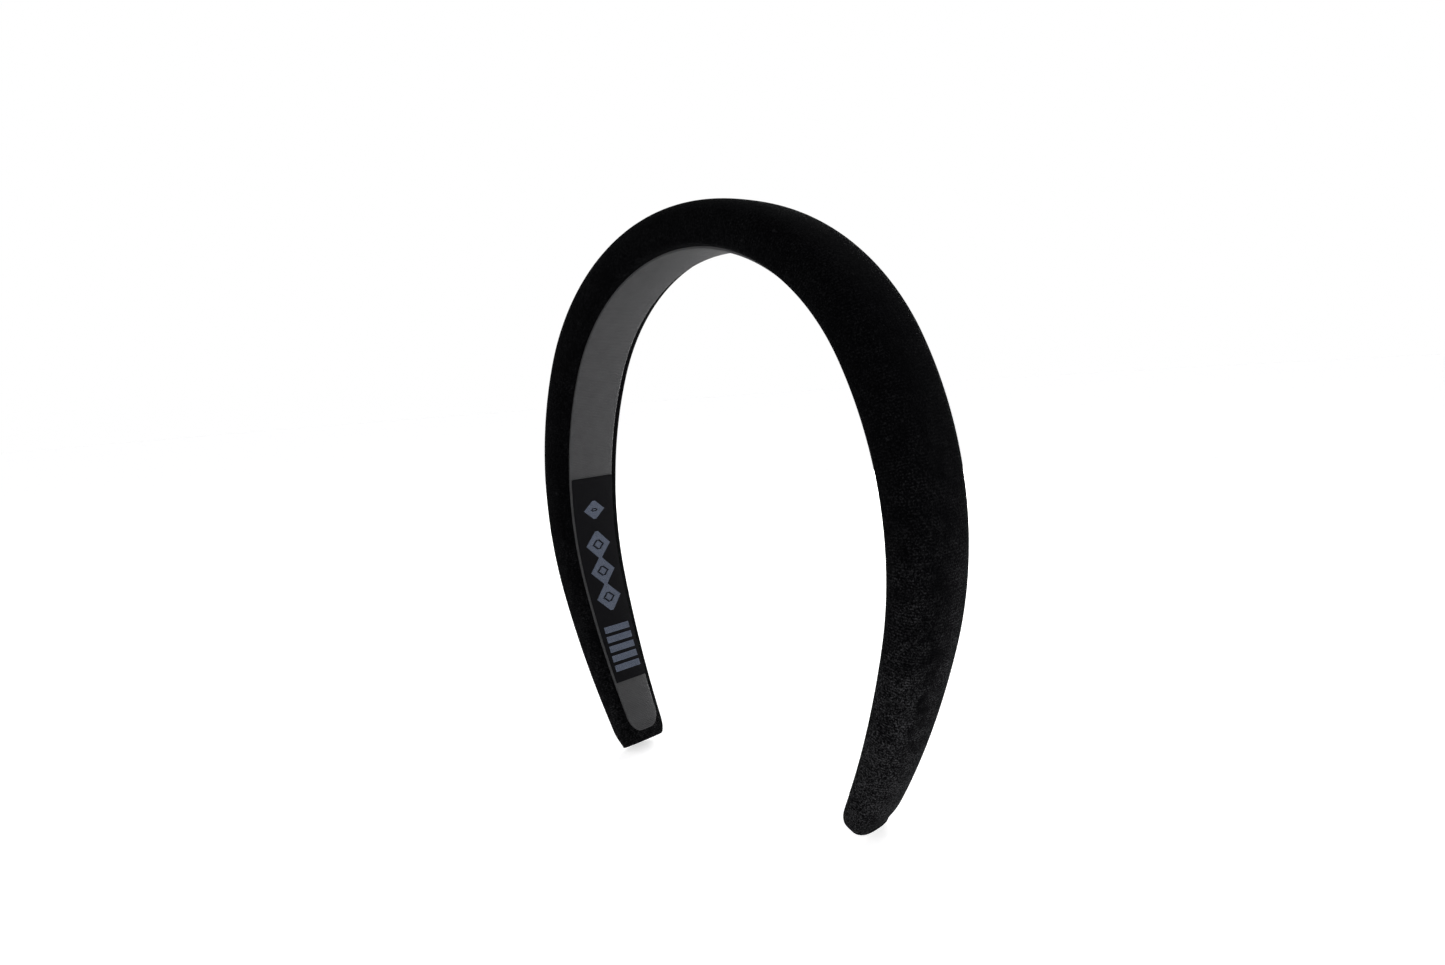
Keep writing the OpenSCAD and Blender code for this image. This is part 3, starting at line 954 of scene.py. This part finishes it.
# %% Foam's finish
sponge, shader = finish("sponge", (0.6, 0.6, 0.57), 0.95, specular=0.2)
own = own_place(sponge)
cells = add(sponge, "TexVoronoi", {"Vector": own, "Scale": 1300}, feature="DISTANCE_TO_EDGE")
# Painted shade: the hollow of each cell is painted dark grey, as shade in the pores; the same value is the
# depth of the relief.
pore_depth_and_shade = between(sponge, cells.outputs["Distance"], 0.02, 0.22)
tone = grains(sponge, own, 150, 3, 0.5)
cream = blend_colours(sponge, tone, (0.62, 0.61, 0.56), (0.74, 0.73, 0.69))
paint(sponge, shader, pore_depth_and_shade, cream, (0.3, 0.3, 0.28))
relief(sponge, shader, math_node(sponge, "SUBTRACT", 1.0, pore_depth_and_shade), 0.25 * MM, 0.9)
print("foam's finish")

# %% Tape's and floor's finishes
tape_film, shader = finish("tape_film", (0.7, 0.66, 0.5), 0.45)
own = own_place(tape_film)
fibres = between(tape_film, grains(tape_film, own, 900, 5, 0.7), 0.4, 0.7)
paint(tape_film, shader, fibres, (0.62, 0.58, 0.44), (0.78, 0.74, 0.6))
relief(tape_film, shader, fibres, 0.02 * MM, 0.5)

pale_floor, shader = finish("pale_floor", (0.93, 0.93, 0.93), 0.9, specular=0.1)
shader.inputs["Emission Color"].default_value = (1, 1, 1, 1)
shader.inputs["Emission Strength"].default_value = 0.52
paper = grains(pale_floor, own_place(pale_floor), 60, 3, 0.5)
paint(pale_floor, shader, paper, (0.9, 0.9, 0.9), (0.95, 0.95, 0.95))
print("tape's and floor's finishes")

# %% [markdown]
# ## Putting it together
#
# The two halves of the model turn against each other at the crown, as the real band does when it is pulled
# open. The long pieces cross that joint whole and take the place of both halves of each CAD piece, which
# are hidden. The label rides on the left half.

for piece in (arch_line, pad_form):
    bpy.data.objects.remove(piece)


def dress(piece, material):
    piece.data.materials.clear()
    piece.data.materials.append(material)


long_pieces = (
    (velvet_cover, velvet_pile, "velvet"),
    (foam_pad, sponge, "foam"),
    (core, black_plastic, "band_plastic"),
    (foam_tape, tape_film, "tape"),
    (edge_tape, tape_film, "tape"),
    (lining_tape, tape_film, "tape"),
    (lining, lining_ribbon, "lining"),
)
for piece, material, slot in long_pieces:
    dress(piece, material)
    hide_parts(f"{piece.name}_left", f"{piece.name}_right")
    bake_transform(piece)
print(len(long_pieces), "long pieces, blended across the joint")

# %% The label's body
for piece, material in ((label_ground, label_satin), (label_pattern, label_thread)):
    dress(piece, material)
    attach(piece, "left_half")
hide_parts("woven_label")
floor.data.materials.append(pale_floor)
print("label on the left half")
